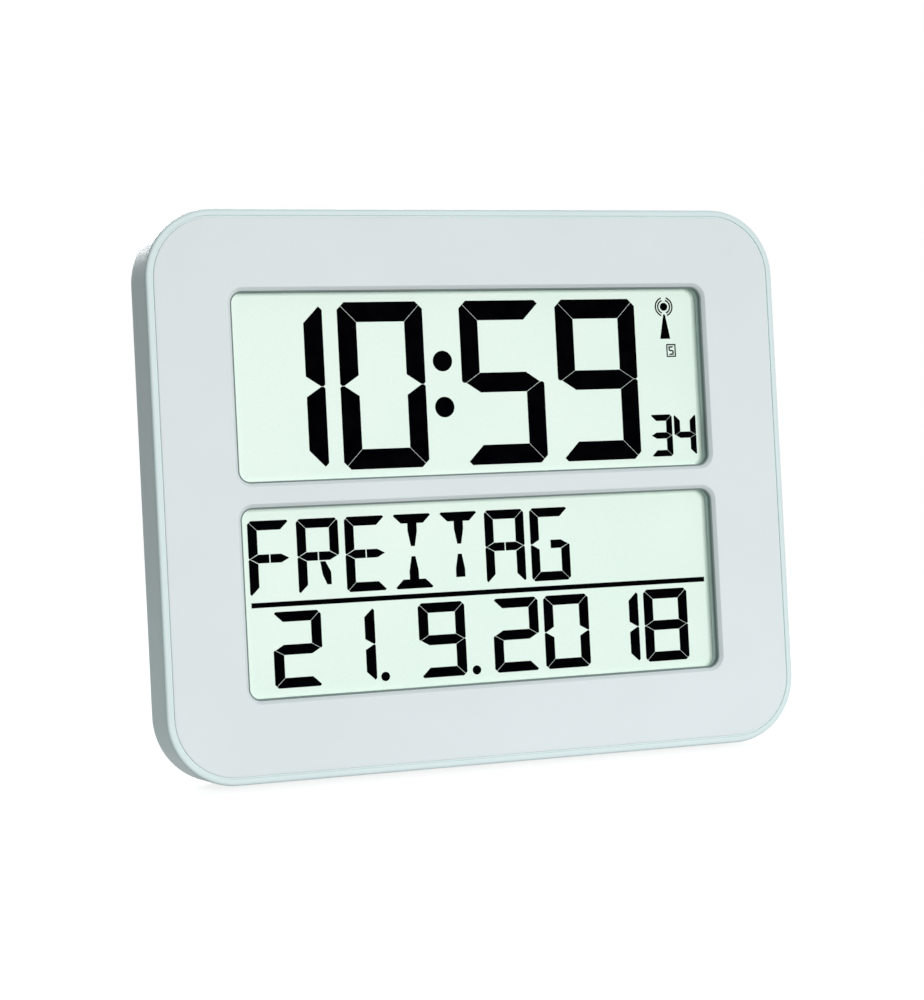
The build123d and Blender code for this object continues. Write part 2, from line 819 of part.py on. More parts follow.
def all_pieces():
    """Every piece of the upright clock, by node name."""
    plate_low = lower_cell_z - contact_width / 2
    plate_high = upper_cell_z + contact_width / 2
    pieces = {
        "front_frame": front_frame(),
        "front_panel": front_panel(),
        "rear_cover": rear_cover() - end_contact_slots(),
        "time_gasket": window_gasket(time_bottom),
        "calendar_gasket": window_gasket(date_bottom),
        "time_lcd": time_lcd(),
        "calendar_lcd": calendar_lcd(),
        "time_reflector": reflector(time_glass_bottom, time_glass_top),
        "calendar_reflector": reflector(date_glass_bottom, date_glass_top),
        "lcd_carrier": lcd_carrier(),
        "time_connector_strip": connector_strip(time_glass_bottom),
        "calendar_connector_strip": connector_strip(date_glass_bottom),
        "main_board": main_board(),
        "controller_chip": controller_chip(),
        "clock_crystal": clock_crystal(),
        "board_capacitors": board_capacitors(),
        "chip_resistors": chip_resistors(),
        "tact_switches": tact_switches(),
        "receiver_board": receiver_board(),
        "receiver_chip": receiver_chip(),
        "antenna_rod": bar(-antenna_length / 2, antenna_length / 2, antenna_y, antenna_height,
                           antenna_radius),
        "antenna_coil": antenna_coil(),
        "antenna_clips": antenna_clips(),
        "buzzer": buzzer(),
        "battery_cells": [battery_cell(1, lower_cell_z), battery_cell(-1, upper_cell_z)],
        "positive_contact": end_contact(1, lower_cell_z),
        "negative_contact": end_contact(1, upper_cell_z),
        "link_contact": contact_plate(-1, plate_low, plate_high),
        "contact_springs": [contact_spring(-1, lower_cell_z), contact_spring(1, upper_cell_z)],
        "case_screws": case_screws(),
        "carrier_screws": small_screws(carrier_screw_places(), carrier_back, panel_thickness + 1.5),
        "board_screws": small_screws(board_screw_places(), board_back, carrier_front + 0.8),
        "receiver_screws": small_screws(receiver_screw_places(), receiver_front,
                                        receiver_back + 4.0, -1),
        "stand_pin": stand_pin(),
        "battery_lead_red": battery_lead(lower_cell_z, tab_end + 9.0, board_top - 2.0),
        "battery_lead_black": battery_lead(upper_cell_z, tab_end + 13.0, board_top - 8.0),
        "antenna_leads": antenna_leads(),
        "receiver_leads": receiver_leads(),
        "buzzer_leads": buzzer_leads(),
        "stand_leg": stand_leg(),
        "stand_pad": stand_pad(),
        "battery_door": battery_door(),
    }
    for name, (x, z) in zip(button_names, button_places()):
        pieces[name] = button(x, z)
    return pieces


def end_contact_slots():
    """Slots for the solder tabs in the battery well's end wall."""
    slots = []
    for z in (lower_cell_z, upper_cell_z):
        slots.append(block(bay_half - 0.5, bay_half + bay_wall + 0.5, cell_y - 0.35, cell_y + 0.35,
                           z - tab_width / 2 - 0.1, z + tab_width / 2 + 0.1))
    return slots


def lean_back(pieces):
    """Leans the clock back on its stand and moves its origin to the middle of its footprint."""
    turned = {}
    for name, piece in pieces.items():
        solids = piece if isinstance(piece, list) else [piece]
        turned[name] = [Rot(-lean, 0, 0) * solid for solid in solids]
    front = turned["front_frame"][0].bounding_box().min.Y
    rear = turned["stand_leg"][0].bounding_box().max.Y
    ground = case_depth * sin(radians(lean)) + case_height / 2 * cos(radians(lean))
    shift = Pos(0, -(front + rear) / 2, ground)
    return {name: [shift * solid for solid in solids] for name, solids in turned.items()}


os.makedirs("parts", exist_ok=True)
for node, solids in lean_back(all_pieces()).items():
    shape = solids[0] if len(solids) == 1 else Compound(children=solids)
    export_step(shape, "parts/" + node + ".step")
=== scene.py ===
import json
from math import cos, pi, radians, sin

import bmesh
import bpy
import numpy as np
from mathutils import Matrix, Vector
from mathutils.geometry import tessellate_polygon


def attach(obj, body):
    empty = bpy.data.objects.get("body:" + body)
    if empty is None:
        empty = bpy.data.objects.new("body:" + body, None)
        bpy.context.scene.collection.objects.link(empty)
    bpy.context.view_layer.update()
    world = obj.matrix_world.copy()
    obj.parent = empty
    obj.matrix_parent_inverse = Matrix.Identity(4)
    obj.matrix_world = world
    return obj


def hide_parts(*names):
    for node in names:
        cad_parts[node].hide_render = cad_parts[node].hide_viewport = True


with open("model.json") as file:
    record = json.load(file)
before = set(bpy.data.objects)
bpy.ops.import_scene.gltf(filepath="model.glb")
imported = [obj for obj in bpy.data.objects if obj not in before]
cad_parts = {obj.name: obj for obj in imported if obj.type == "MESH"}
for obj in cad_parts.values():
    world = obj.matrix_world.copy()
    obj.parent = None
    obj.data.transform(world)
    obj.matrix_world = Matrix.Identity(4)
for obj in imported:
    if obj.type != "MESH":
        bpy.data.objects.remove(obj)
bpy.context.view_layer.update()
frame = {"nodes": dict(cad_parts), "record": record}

# ---------------------------------------------------------------------------------------------
# The case's own axes. The clock leans back on its stand, so every piece is worked out in
# millimetres across, into and up the case, from the middle of its front face.

MM = 0.001
joints = {joint["name"]: joint for joint in frame["record"]["behaviour"]["joints"]}
ACROSS = np.array((1.0, 0.0, 0.0))
UP = np.array(joints["stand_hinge"]["axis"], float)
INTO = np.cross(UP, ACROSS)


def span(node, direction):
    """How far a CAD node reaches along a direction, from low to high, in metres."""
    mesh = frame["nodes"][node].data
    points = np.empty(len(mesh.vertices) * 3, np.float32)
    mesh.vertices.foreach_get("co", points)
    along = points.reshape(-1, 3) @ direction
    return along.min(), along.max()


case_low, case_high = span("front_frame", UP)
front_face = span("front_panel", INTO)[0]
centre = INTO * front_face + UP * (case_low + case_high) / 2


def to_row(points):
    """Points across, into and up the case in millimetres, as places in the row's frame in metres."""
    return centre + np.asarray(points, float) * MM @ np.array((ACROSS, INTO, UP))


def reach(node, direction):
    """A node's lowest and highest place along one of the case's axes, in millimetres."""
    low, high = span(node, direction)
    start = centre @ direction
    return (low - start) / MM, (high - start) / MM


# Sizes of the case, in millimetres
case_width = reach("front_frame", ACROSS)[1] * 2
case_height = reach("front_frame", UP)[1] * 2
case_depth = reach("front_frame", INTO)[1]
panel_inset = case_width / 2 - reach("front_panel", ACROSS)[1]
glass_face = reach("time_lcd", INTO)[0]
back_face = reach("rear_cover", INTO)[1]
corner_radius = 26.0
wall = 2.5
rim_round = 1.0
small_round = 0.3
groove_depth = 0.4
groove_step = 0.47          # how far the frame reaches under the groove
panel_thickness = 2.5
ledge_width = 3.5
ledge_thickness = 2.0
rest_width = 2.45
rest_back = 19.1
window_width = 197.0
window_height = 73.8
window_corner = 6.0
window_bevel = 1.3
bevel_round = 0.35
collar_wall = 1.8
seal_wall = 0.55
seal_sink = 0.1             # the seal's edge below the bevel's inner edge
window_middles = (40.1, -40.1)
support = 1.0               # flat strip beside a rounded edge, which keeps the shading there
edge_support = 0.4          # the same beside a fine edge
seat_support = 0.3          # the same beside the glass
merge = 0.1                 # how far a post or a sign starts inside what carries it
boss_inset = 15.0           # screw bosses, in from the case's sides
boss = {"outer": 3.5, "inner": 1.2, "back": 16.0, "floor": 7.0}
post_side = 7.2             # the display carrier's posts, out from the windows
post_rise = 44.5
post = {"outer": 2.75, "inner": 1.05, "back": 8.2, "floor": 3.3}
post_round = 0.2


# ---------------------------------------------------------------------------------------------
# Materials. Each is one set of nodes on Object coordinates, in metres.

def tone(red, green, blue):
    """A colour given as it looks, from 0 to 255, in the linear scale that shaders use."""
    seen = np.array((red, green, blue)) / 255
    return tuple(np.where(seen > 0.04045, ((seen + 0.055) / 1.055) ** 2.4, seen / 12.92).tolist())


def new_material(name):
    """An empty node material, with its tree, its shader and its coordinates."""
    material = bpy.data.materials.new(name)
    material.use_nodes = True
    tree = material.node_tree
    place = tree.nodes.new("ShaderNodeTexCoord").outputs["Object"]
    return material, tree, tree.nodes["Principled BSDF"], place


def noise(tree, place, size, detail=2.0, stretch=(1, 1, 1)):
    """A noise whose features are about this many metres across, stretched along the axes."""
    mapping = tree.nodes.new("ShaderNodeMapping")
    mapping.inputs["Scale"].default_value = tuple(1.0 / (size * s) for s in stretch)
    tree.links.new(place, mapping.inputs["Vector"])
    node = tree.nodes.new("ShaderNodeTexNoise")
    node.inputs["Scale"].default_value = 1.0
    node.inputs["Detail"].default_value = detail
    tree.links.new(mapping.outputs["Vector"], node.inputs["Vector"])
    return node.outputs["Fac"]


def ramp(tree, value, *stops):
    """Colours between stops of a value; each stop is a place from 0 to 1 and a colour."""
    node = tree.nodes.new("ShaderNodeValToRGB")
    while len(node.color_ramp.elements) < len(stops):
        node.color_ramp.elements.new(0.5)
    for element, (where, colour) in zip(node.color_ramp.elements, stops):
        element.position = where
        element.color = (*colour, 1.0)
    tree.links.new(value, node.inputs["Fac"])
    return node.outputs["Color"]


def spread(tree, value, low, high, start=0.3, end=0.7):
    """A value between two limits, spread between two others."""
    node = tree.nodes.new("ShaderNodeMapRange")
    node.inputs["From Min"].default_value = start
    node.inputs["From Max"].default_value = end
    node.inputs["To Min"].default_value = low
    node.inputs["To Max"].default_value = high
    tree.links.new(value, node.inputs["Value"])
    return node.outputs["Result"]


def bump(tree, shader, height, depth, strength=1.0):
    """A bump of a real depth in metres, from a height between 0 and 1."""
    node = tree.nodes.new("ShaderNodeBump")
    node.inputs["Strength"].default_value = strength
    node.inputs["Distance"].default_value = depth
    tree.links.new(height, node.inputs["Height"])
    tree.links.new(node.outputs["Normal"], shader.inputs["Normal"])


def moulded(name, colour, roughness, grain, depth, shift=0.015, specular=0.25):
    """Moulded plastic: a spark-eroded grain, faint flow marks in the colour, and a satin gloss
    that varies a little with the grain."""
    material, tree, shader, place = new_material(name)
    flow = noise(tree, place, 0.06, 3.0)
    light = tuple(min(1.0, c * (1 + shift)) for c in colour)
    dark = tuple(c * (1 - shift) for c in colour)
    tree.links.new(ramp(tree, flow, (0.35, dark), (0.65, light)), shader.inputs["Base Color"])
    fine = noise(tree, place, grain, 3.0)
    tree.links.new(spread(tree, fine, roughness - 0.05, roughness + 0.06), shader.inputs["Roughness"])
    bump(tree, shader, fine, depth, 0.6)
    shader.inputs["Specular IOR Level"].default_value = specular
    return material


def metal(name, colour, roughness):
    """Plated steel or copper: fine drawn scratches in its gloss and height."""
    material, tree, shader, place = new_material(name)
    lines = noise(tree, place, 0.002, 3.0, (8, 1, 1))
    dull = tuple(c * 0.8 for c in colour)
    tree.links.new(ramp(tree, lines, (0.3, dull), (0.7, colour)), shader.inputs["Base Color"])
    tree.links.new(spread(tree, lines, roughness - 0.08, roughness + 0.1), shader.inputs["Roughness"])
    bump(tree, shader, lines, 0.00001, 0.5)
    shader.inputs["Metallic"].default_value = 1.0
    return material


def display_glass():
    """A reflective display's face: the silvered sheet behind the glass shows as a pale green with a
    very fine sparkle, under a polariser with a soft gloss."""
    material, tree, shader, place = new_material("display_glass")
    sparkle = noise(tree, place, 0.00022, 1.0)
    cloud = noise(tree, place, 0.05, 2.0)
    fine = ramp(tree, sparkle, (0.3, tone(222, 236, 225)), (0.7, tone(229, 243, 232)))
    broad = ramp(tree, cloud, (0.3, tone(250, 253, 252)), (0.7, (1.0, 1.0, 1.0)))
    mix = tree.nodes.new("ShaderNodeMix")
    mix.data_type = "RGBA"
    mix.blend_type = "MULTIPLY"
    mix.inputs["Factor"].default_value = 1.0
    tree.links.new(fine, mix.inputs["A"])
    tree.links.new(broad, mix.inputs["B"])
    tree.links.new(mix.outputs["Result"], shader.inputs["Base Color"])
    tree.links.new(spread(tree, sparkle, 0.22, 0.32), shader.inputs["Roughness"])
    bump(tree, shader, sparkle, 0.000003, 0.4)
    shader.inputs["Specular IOR Level"].default_value = 0.15
    return material


def display_ink():
    """A display's dark bars: near black, a shade uneven where the crystal layer is thinner."""
    material, tree, shader, place = new_material("display_ink")
    cloud = noise(tree, place, 0.006, 2.0)
    tree.links.new(ramp(tree, cloud, (0.3, tone(1, 1, 3)), (0.7, tone(5, 5, 8))),
                   shader.inputs["Base Color"])
    tree.links.new(spread(tree, cloud, 0.3, 0.38), shader.inputs["Roughness"])
    shader.inputs["Specular IOR Level"].default_value = 0.0
    return material


def circuit_laminate():
    """A circuit board: green lacquer over slightly raised copper tracks, and fine glass weave."""
    material, tree, shader, place = new_material("circuit_laminate")
    tracks = tree.nodes.new("ShaderNodeTexBrick")
    tracks.inputs["Scale"].default_value = 90.0
    tracks.inputs["Mortar Size"].default_value = 0.035
    tracks.inputs["Color1"].default_value = (*tone(20, 88, 52), 1)
    tracks.inputs["Color2"].default_value = (*tone(22, 96, 56), 1)
    tracks.inputs["Mortar"].default_value = (*tone(48, 132, 78), 1)
    turn = tree.nodes.new("ShaderNodeMapping")
    turn.inputs["Rotation"].default_value = (radians(90), 0, 0)
    tree.links.new(place, turn.inputs["Vector"])
    tree.links.new(turn.outputs["Vector"], tracks.inputs["Vector"])
    tree.links.new(tracks.outputs["Color"], shader.inputs["Base Color"])
    weave = noise(tree, place, 0.0006, 2.0)
    tree.links.new(spread(tree, weave, 0.3, 0.45), shader.inputs["Roughness"])
    bump(tree, shader, tracks.outputs["Fac"], 0.00004, 0.6)
    return material


def cell_sleeve():
    """A battery cell: a plain slate sleeve with one pale band near the nub's end, worked out from how
    far along the cell a place is, under a clear shrunk film."""
    material, tree, shader, place = new_material("cell_sleeve")
    attribute = tree.nodes.new("ShaderNodeAttribute")
    attribute.attribute_name = "along"
    bands = tree.nodes.new("ShaderNodeValToRGB")
    bands.color_ramp.interpolation = "CONSTANT"
    steel = tone(196, 198, 200)
    slate = tone(74, 92, 112)
    stops = ((0.0, steel), (0.03, slate), (0.8, tone(204, 210, 212)), (0.86, slate), (0.965, steel))
    while len(bands.color_ramp.elements) < len(stops):
        bands.color_ramp.elements.new(0.5)
    for element, (where, colour) in zip(bands.color_ramp.elements, stops):
        element.position = where
        element.color = (*colour, 1.0)
    tree.links.new(attribute.outputs["Fac"], bands.inputs["Fac"])
    tree.links.new(bands.outputs["Color"], shader.inputs["Base Color"])
    ends = ramp(tree, attribute.outputs["Fac"], (0.03, (1, 1, 1)), (0.031, (0, 0, 0)),
                (0.964, (0, 0, 0)), (0.965, (1, 1, 1)))
    tree.links.new(ends, shader.inputs["Metallic"])
    wrinkle = noise(tree, place, 0.004, 3.0, (4, 1, 1))
    tree.links.new(spread(tree, wrinkle, 0.22, 0.34), shader.inputs["Roughness"])
    bump(tree, shader, wrinkle, 0.00003, 0.4)
    return material


def ferrite_rod():
    """A pressed and fired magnet rod: dark grey with a coarse mineral grain."""
    material, tree, shader, place = new_material("ferrite_rod")
    grain = noise(tree, place, 0.0006, 4.0)
    tree.links.new(ramp(tree, grain, (0.3, tone(38, 38, 40)), (0.7, tone(68, 67, 68))),
                   shader.inputs["Base Color"])
    tree.links.new(spread(tree, grain, 0.6, 0.8), shader.inputs["Roughness"])
    bump(tree, shader, grain, 0.00004, 0.8)
    return material


def wound_wire():
    """A winding of fine enamelled wire: turns side by side across the rod, each darker where it meets
    the next as painted shade.
    """
    material, tree, shader, place = new_material("wound_wire")
    turns = tree.nodes.new("ShaderNodeTexWave")
    turns.bands_direction = "X"
    turns.inputs["Scale"].default_value = 520.0
    tree.links.new(place, turns.inputs["Vector"])
    # the copper tone is the wire's own; the dark end of the ramp is painted shade between the turns
    colour = ramp(tree, turns.outputs["Fac"], (0.0, tone(96, 40, 18)), (0.8, tone(201, 110, 62)))
    tree.links.new(colour, shader.inputs["Base Color"])
    tree.links.new(spread(tree, turns.outputs["Fac"], 0.2, 0.36, 0, 1), shader.inputs["Roughness"])
    bump(tree, shader, turns.outputs["Fac"], 0.00012, 0.8)
    shader.inputs["Metallic"].default_value = 0.7
    return material


def seal_rubber_painted_shade():
    """A sealing ring: soft grey rubber with a fine matt grain. Its front lip, which a point attribute
    marks, is coloured darker as painted shade at the window's edge, and its inner wall paler to lift
    its shade."""
    material, tree, shader, place = new_material("seal_rubber_painted_shade")
    attribute = tree.nodes.new("ShaderNodeAttribute")
    attribute.attribute_name = "painted_shade_lip"
    grain = noise(tree, place, 0.0005, 3.0)
    # painted light: the inner wall's colour is made paler to lift the shade that falls inside the
    # window
    side = tone(205, 220, 217)
    # painted shade: the front lip's colour is made darker, a painted shadow line round the display
    painted_shade_lip = tone(112, 126, 124)
    tree.links.new(ramp(tree, attribute.outputs["Fac"], (0.3, side), (0.7, painted_shade_lip)),
                   shader.inputs["Base Color"])
    tree.links.new(spread(tree, grain, 0.58, 0.7), shader.inputs["Roughness"])
    bump(tree, shader, grain, 0.00002, 0.6)
    shader.inputs["Specular IOR Level"].default_value = 0.25
    return material


frame_plastic = moulded("frame_plastic", tone(211, 224, 224), 0.42, 0.0005, 0.000012)
panel_plastic = moulded("panel_plastic", tone(218, 223, 225), 0.48, 0.0004, 0.000012)
back_plastic = moulded("back_plastic", tone(213, 223, 224), 0.52, 0.0007, 0.00003)
button_plastic = moulded("button_plastic", tone(138, 147, 151), 0.45, 0.0005, 0.00002)
inner_plastic = moulded("inner_plastic", tone(232, 230, 222), 0.5, 0.0007, 0.00002)
soft_rubber = moulded("soft_rubber", tone(58, 60, 62), 0.78, 0.0006, 0.00005, 0.08, 0.25)
black_resin = moulded("black_resin", tone(24, 24, 26), 0.32, 0.0012, 0.00006, 0.08)
silver_film = metal("silver_film", tone(214, 220, 218), 0.42)
plated_steel = metal("plated_steel", tone(200, 202, 204), 0.3)
sprung_steel = metal("sprung_steel", tone(214, 214, 210), 0.26)
red_sheath = moulded("red_sheath", tone(186, 30, 30), 0.4, 0.0008, 0.00001, 0.06)
black_sheath = moulded("black_sheath", tone(30, 30, 32), 0.4, 0.0008, 0.00001, 0.06)
glass = display_glass()
ink = display_ink()
laminate = circuit_laminate()
sleeve = cell_sleeve()
ferrite = ferrite_rod()
winding = wound_wire()
seal_finish_with_painted_shade = seal_rubber_painted_shade()


# ---------------------------------------------------------------------------------------------
# Making surfaces

def woven(rows, columns, rows_close=False, columns_close=False):
    """Four-sided faces between the points of a grid, whose rows or columns may close on themselves."""
    i = np.arange(rows if rows_close else rows - 1)[:, None]
    j = np.arange(columns if columns_close else columns - 1)
    above = (i + 1) % rows
    beside = (j + 1) % columns
    corners = (i * columns + j, i * columns + beside, above * columns + beside, above * columns + j)
    return np.stack(corners, -1).reshape(-1, 4)


def place_piece(name, mesh, material, body, replaced=(), sharp=32):
    """Shades a finished mesh smooth up to an angle, and makes it a piece that rides on its body."""
    mesh.materials.clear()
    mesh.materials.append(material)
    mesh.shade_smooth()
    mesh.set_sharp_from_angle(angle=radians(sharp))
    piece = bpy.data.objects.new(name, mesh)
    bpy.context.scene.collection.objects.link(piece)
    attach(piece, body)
    if replaced:
        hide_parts(*replaced)
    return piece


def shell_piece(name, points, faces, material, body, slot, replaced=(), sharp=32):
    """A closed surface from points in case millimetres, with its doubles joined and faces outwards."""
    mesh = bpy.data.meshes.new(name)
    mesh.from_pydata(to_row(points).tolist(), [], faces)
    shell = bmesh.new()
    shell.from_mesh(mesh)
    bmesh.ops.remove_doubles(shell, verts=shell.verts, dist=1e-6)
    bmesh.ops.recalc_face_normals(shell, faces=shell.faces)
    shell.to_mesh(mesh)
    shell.free()
    return place_piece(name, mesh, material, body, replaced, sharp)


def case_places(piece):
    """A piece's points from the middle of the case's front, in millimetres along the row's axes."""
    places = np.empty(len(piece.data.vertices) * 3)
    piece.data.vertices.foreach_get("co", places)
    return (places.reshape(-1, 3) - centre) / MM


def join(*parts):
    """Several sets of points and faces as one set."""
    points = []
    faces = []
    count = 0
    for part_points, part_faces in parts:
        points.append(np.asarray(part_points, float).reshape(-1, 3))
        faces += [[corner + count for corner in face] for face in part_faces]
        count += len(points[-1])
    return np.concatenate(points), faces


def corner_arc(across, depth, radius, start, end, steps=5):
    """Part of a circle in a profile: its middle, its radius and its two angles in degrees."""
    turn = np.radians(np.linspace(start, end, steps + 1))
    return np.column_stack((across + radius * np.cos(turn), depth + radius * np.sin(turn)))


def rounded_ring(width, height, radius, middle, profile, steps=20):
    """A profile carried round a rounded rectangle. Each profile point is an outward distance and a
    depth: the point is the corner's middle plus its direction times the radius and that distance."""
    turn = np.linspace(0, pi / 2, steps + 1)
    angle = (np.arange(4)[:, None] * pi / 2 + turn).ravel()
    side_x = np.repeat((1, -1, -1, 1), steps + 1) * (width / 2 - radius)
    side_z = np.repeat((1, 1, -1, -1), steps + 1) * (height / 2 - radius)
    out = radius + profile[:, 0][:, None]
    x = side_x + out * np.cos(angle)
    z = middle + side_z + out * np.sin(angle)
    y = np.broadcast_to(profile[:, 1][:, None], x.shape)
    return np.stack((x, y, z), -1)


def turned(profile, x, z, steps=48, close=False):
    """A profile of radius and depth, turned round an axis into the case at x and z."""
    turn = np.linspace(0, 2 * pi, steps, endpoint=False)
    radius = profile[:, 0][:, None]
    depth = np.broadcast_to(profile[:, 1][:, None], (len(profile), steps))
    grid = np.stack((x + radius * np.cos(turn), depth, z + radius * np.sin(turn)), -1)
    return grid.reshape(-1, 3), woven(len(profile), steps, close, True).tolist()


def raised(outlines, front, back):
    """Flat outlines in x and z, each carried from one depth to another and closed at both."""
    parts = []
    for outline in outlines:
        outline = np.asarray(outline, float)
        count = len(outline)
        points = np.empty((2, count, 3))
        points[:, :, 0] = outline[:, 0]
        points[:, :, 2] = outline[:, 1]
        points[0, :, 1] = front
        points[1, :, 1] = back
        ring = np.arange(count)
        faces = woven(2, count, False, True).tolist() + [ring.tolist(), (ring[::-1] + count).tolist()]
        parts.append((points.reshape(-1, 3), faces))
    return join(*parts)


def softened(name, node, material, body, bevel=0.0, cuts=()):
    """A copy of a CAD node with its loose triangles joined, its flat faces made whole and its edges
    rounded by a narrow bevel. Long faces are cut at given distances across, so that the shading at
    one end doesn't run along them."""
    mesh = frame["nodes"][node].data.copy()
    mesh.name = name
    shell = bmesh.new()
    shell.from_mesh(mesh)
    bmesh.ops.remove_doubles(shell, verts=shell.verts, dist=2e-6)
    bmesh.ops.dissolve_limit(shell, angle_limit=radians(0.4), verts=shell.verts, edges=shell.edges)
    for x in cuts:
        geometry = shell.verts[:] + shell.edges[:] + shell.faces[:]
        bmesh.ops.bisect_plane(shell, geom=geometry, plane_co=to_row((x, 0, 0)), plane_no=ACROSS)
    shell.to_mesh(mesh)
    shell.free()
    piece = place_piece(name, mesh, material, body, (node,))
    if bevel:
        edge = piece.modifiers.new("edge", "BEVEL")
        edge.width = bevel * MM
        edge.segments = 2
        edge.limit_method = "ANGLE"
        edge.angle_limit = radians(50)
        edge.use_clamp_overlap = True
        edge.harden_normals = False
    weighted = piece.modifiers.new("weighted", "WEIGHTED_NORMAL")
    weighted.keep_sharp = True
    return piece


# ---------------------------------------------------------------------------------------------
# Case: the frame and the front plate

def case_frame():
    """The side walls: a closed profile carried round the case. Outside it has a rounded rim at the
    front; inside it steps in for the panel's ledge and again for the back's."""
    deep = case_depth - small_round
    profile = np.concatenate((
        ((0, deep), (0, deep - support), (0, rim_round + support)),
        corner_arc(-rim_round, rim_round, rim_round, 0, -90, 8),
        corner_arc(-wall + small_round, small_round, small_round, -90, -180, 4),
        ((-wall, groove_depth), (-wall - groove_step, groove_depth)),
        ((-wall - groove_step, panel_thickness), (-wall - ledge_width, panel_thickness)),
        ((-wall - ledge_width, panel_thickness + ledge_thickness),),
        ((-wall, panel_thickness + ledge_thickness), (-wall, rest_back - ledge_thickness)),
        ((-wall - rest_width, rest_back - ledge_thickness), (-wall - rest_width, rest_back)),
        ((-wall, rest_back), (-wall, case_depth), (-small_round, case_depth)),
        corner_arc(-small_round, deep, small_round, 90, 0, 4)[1:-1],
    ))
    grid = rounded_ring(case_width, case_height, corner_radius, 0, profile)
    faces = woven(len(profile), grid.shape[1], True, True)
    shell_piece("frame_shell", grid.reshape(-1, 3), faces.tolist(), frame_plastic, "case",
                "case_plastic", ("front_frame",))


def hollow_post(x, z, outer, inner, back, floor):
    """A screw post: a round wall from the plate to its open end, with a blind hole in it."""
    front = panel_thickness - merge
    profile = np.array(((0, front), (outer, front), (outer, back - post_round),
                        (outer - post_round, back), (inner, back), (inner, floor), (0, floor)))
    return turned(profile, x, z, 24)


def front_plate():
    """The plate with its two windows: rounded outer edge, softened bevels, and a collar behind each
    window, carried round rounded rectangles; its two flat faces are filled between those rings."""
    outside = np.concatenate((
        ((-panel_inset, panel_thickness), (-panel_inset, small_round + edge_support)),
        corner_arc(-panel_inset - small_round, small_round, small_round, 0, -90, 5),
        ((-panel_inset - small_round - support, 0),),
    ))
    inner = bevel_round * 0.4142            # from a 45 degree corner to where its round starts
    inside = np.concatenate((
        ((support + inner, 0),),
        corner_arc(inner, bevel_round, bevel_round, -90, -135, 4),
        corner_arc(-window_bevel + bevel_round, window_bevel + inner, bevel_round, -135, -180, 4),
        ((-window_bevel, window_bevel + inner + support), (-window_bevel, glass_face - seat_support)),
        ((-window_bevel, glass_face), (-window_bevel + collar_wall, glass_face)),
        ((-window_bevel + collar_wall, panel_thickness),),
    ))
    edge = rounded_ring(case_width, case_height, corner_radius, 0, outside)
    windows = [rounded_ring(window_width, window_height, window_corner, middle, inside, 12)
               for middle in window_middles]
    parts = [(edge.reshape(-1, 3), woven(*edge.shape[:2], False, True).tolist())]
    parts += [(ring.reshape(-1, 3), woven(*ring.shape[:2], False, True).tolist()) for ring in windows]
    front = [edge[-1]] + [ring[0][::-1] for ring in windows]
    back = [edge[0]] + [ring[-1][::-1] for ring in windows]
    for loops in (front, back):
        flat = [[Vector((p[0], p[2], 0)) for p in loop] for loop in loops]
        parts.append((np.concatenate(loops), [list(t) for t in tessellate_polygon(flat)]))
    side = case_width / 2 - boss_inset
    rise = case_height / 2 - boss_inset
    parts += [hollow_post(sx * side, sz * rise, **boss) for sx in (-1, 1) for sz in (-1, 0, 1)]
    side = window_width / 2 + post_side
    parts += [hollow_post(sx * side, sz * post_rise, **post) for sx in (-1, 1) for sz in (-1, 1)]
    points, faces = join(*parts)
    shell_piece("front_plate", points, faces, panel_plastic, "case", "case_plastic",
                ("front_panel",), 25)


def window_seal(name, node, middle):
    """The rubber ring between a window's collar and its display, with a rounded front edge."""
    outer = -window_bevel
    inner = outer - seal_wall
    front = window_bevel + seal_sink
    soft = 0.15
    profile = np.concatenate((
        ((outer, glass_face), (outer, front + soft)),
        corner_arc(outer - soft, front + soft, soft, 0, -90, 4)[1:],
        corner_arc(inner + soft, front + soft, soft, -90, -180, 4),
        ((inner, glass_face),),
    ))
    grid = rounded_ring(window_width, window_height, window_corner, middle, profile, 12)
    faces = woven(len(profile), grid.shape[1], True, True).tolist()
    piece = shell_piece(name, grid.reshape(-1, 3), faces, seal_finish_with_painted_shade, "case", "gasket_rubber", (node,))
    # painted shade: marks the front lip, which the seal's material colours darker as a painted shadow
    # line
    depth = case_places(piece) @ INTO
    painted_shade_lip = np.where(depth < front + 2 * soft, 1.0, 0.0)
    piece.data.attributes.new("painted_shade_lip", "FLOAT", "POINT").data.foreach_set("value", painted_shade_lip)


case_frame()
front_plate()
window_seal("time_seal", "time_gasket", window_middles[0])
window_seal("calendar_seal", "calendar_gasket", window_middles[1])


# ---------------------------------------------------------------------------------------------
# What the displays show, in millimetres from the middle of the case

ink_front = glass_face - 0.08
ink_back = glass_face + 0.02


def drawn_in(outline, distance):
    """An outline with each side moved in: a corner is where its two moved sides cross."""
    outline = np.asarray(outline, float)
    following = np.roll(outline, -1, 0)
    side = following - outline
    area = np.sum(outline[:, 0] * following[:, 1] - outline[:, 1] * following[:, 0])
    inward = np.column_stack((-side[:, 1], side[:, 0])) / np.linalg.norm(side, axis=1)[:, None]
    inward *= np.sign(area)
    before = np.roll(inward, 1, 0)
    share = 1 + np.sum(before * inward, 1)
    return outline + distance * (before + inward) / share[:, None]


def disc(x, z, radius, count=48):
    """A round outline."""
    turn = np.linspace(0, 2 * pi, count, endpoint=False)
    return np.column_stack((x + radius * np.cos(turn), z + radius * np.sin(turn)))


def arc_band(x, z, radius, width, start, end, count=24):
    """A curved bar: an outer arc and an inner one, between two angles in degrees."""
    turn = np.radians(np.linspace(start, end, count))
    ray = np.column_stack((np.cos(turn), np.sin(turn)))
    outer = ray * (radius + width / 2)
    inner = ray[::-1] * (radius - width / 2)
    return np.concatenate((outer, inner)) + (x, z)


